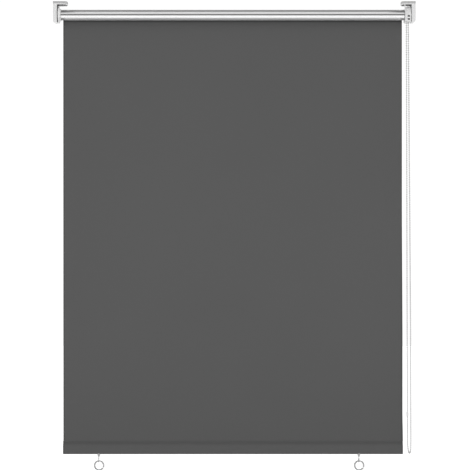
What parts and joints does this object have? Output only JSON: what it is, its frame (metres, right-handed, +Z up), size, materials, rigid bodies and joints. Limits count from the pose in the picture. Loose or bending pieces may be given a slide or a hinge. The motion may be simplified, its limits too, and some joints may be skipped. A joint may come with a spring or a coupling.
{
  "type": "roller blind",
  "caption": "Chain-operated roller blind with ceiling brackets, aluminium tube, grey cloth and a weighted hem with hanging split rings.",
  "frame": {"origin": "centre of the four ceiling screw holes, on the top faces of the brackets", "axes": "+X along the roller to the chain end, +Y away from the room's viewer, +Z up"},
  "size_m": [0.9586, 0.044, 1.2457],
  "materials": {
    "bracket_steel": "grey coated sheet steel, darker underneath",
    "white_plastic": "satin white moulded plastic",
    "grey_plastic": "dark grey moulded plastic",
    "zinc_steel": "zinc plated steel",
    "cloth": "plain weave coated polyester, dark grey",
    "chain_plastic": "white moulded beads on a polyester cord",
    "connector_plastic": "white moulded plastic",
    "tube_aluminium": "bright extruded aluminium",
    "nickel": "bright nickel plated steel"
  },
  "bodies": {
    "brackets": {"bracket_left": "bracket_steel", "bracket_right": "bracket_steel", "cover_left": "white_plastic", "cover_right": "white_plastic", "idle_holder": "white_plastic", "idle_rivets": "zinc_steel", "clutch_shaft": "grey_plastic", "retaining_ring": "zinc_steel", "clutch_screw": "zinc_steel", "wrap_springs": "zinc_steel", "clutch_case": "white_plastic", "chain_guard": "white_plastic", "guard_inserts": "grey_plastic", "guard_screws": "zinc_steel", "fabric_panel": "cloth", "bead_chain": "chain_plastic", "chain_upper": "chain_plastic"},
    "roller": {"roller_tube": "tube_aluminium", "drive_crown": "grey_plastic", "chain_wheel": "grey_plastic", "idle_plug": "grey_plastic", "idle_spring": "zinc_steel", "spring_cap": "grey_plastic", "fabric_spline": "grey_plastic"},
    "pin": {"idle_pin": "zinc_steel"},
    "hem": {"hem_pocket": "cloth", "bottom_bar": "tube_aluminium", "bar_cap_left": "grey_plastic", "bar_cap_right": "grey_plastic", "eye_nuts": "zinc_steel", "eye_screw_left": "nickel", "eye_screw_right": "nickel"},
    "left_ring": {"ring_left": "nickel"},
    "right_ring": {"ring_right": "nickel"},
    "connector": {"chain_connector": "connector_plastic"}
  },
  "joints": [
    {"name": "roller_spin", "type": "hinge", "parent": "brackets", "child": "roller", "pos_m": [0, 0, -0.0343], "axis": [1, 0, 0], "range_deg": [0, 3825]},
    {"name": "hem_lift", "type": "slide", "parent": "brackets", "child": "hem", "axis": [0, 0, 1], "range_m": [0, 1.1016], "deforming": ["fabric_panel"]},
    {"name": "chain_travel", "type": "slide", "parent": "brackets", "child": "connector", "axis": [-0.0025, 0.0007, 1], "range_m": [0, 1.0202]},
    {"name": "idle_pin_press", "type": "slide", "parent": "roller", "child": "pin", "axis": [1, 0, 0], "range_m": [0, 0.0115], "stiffness_N_per_m": 250, "springref_m": -0.006, "deforming": ["idle_spring"]},
    {"name": "left_ring_swing", "type": "hinge", "parent": "hem", "child": "left_ring", "pos_m": [-0.3612, 0.01455, -1.2203], "axis": [1, 0, 0], "range_deg": [-80, 80]},
    {"name": "right_ring_swing", "type": "hinge", "parent": "hem", "child": "right_ring", "pos_m": [0.332, 0.01455, -1.2203], "axis": [1, 0, 0], "range_deg": [-80, 80]}
  ],
  "couplings": [
    {"joint": "hem_lift", "follows": "roller_spin", "m_per_rad": 0.0165},
    {"joint": "chain_travel", "follows": "roller_spin", "m_per_rad": 0.01528}
  ]
}
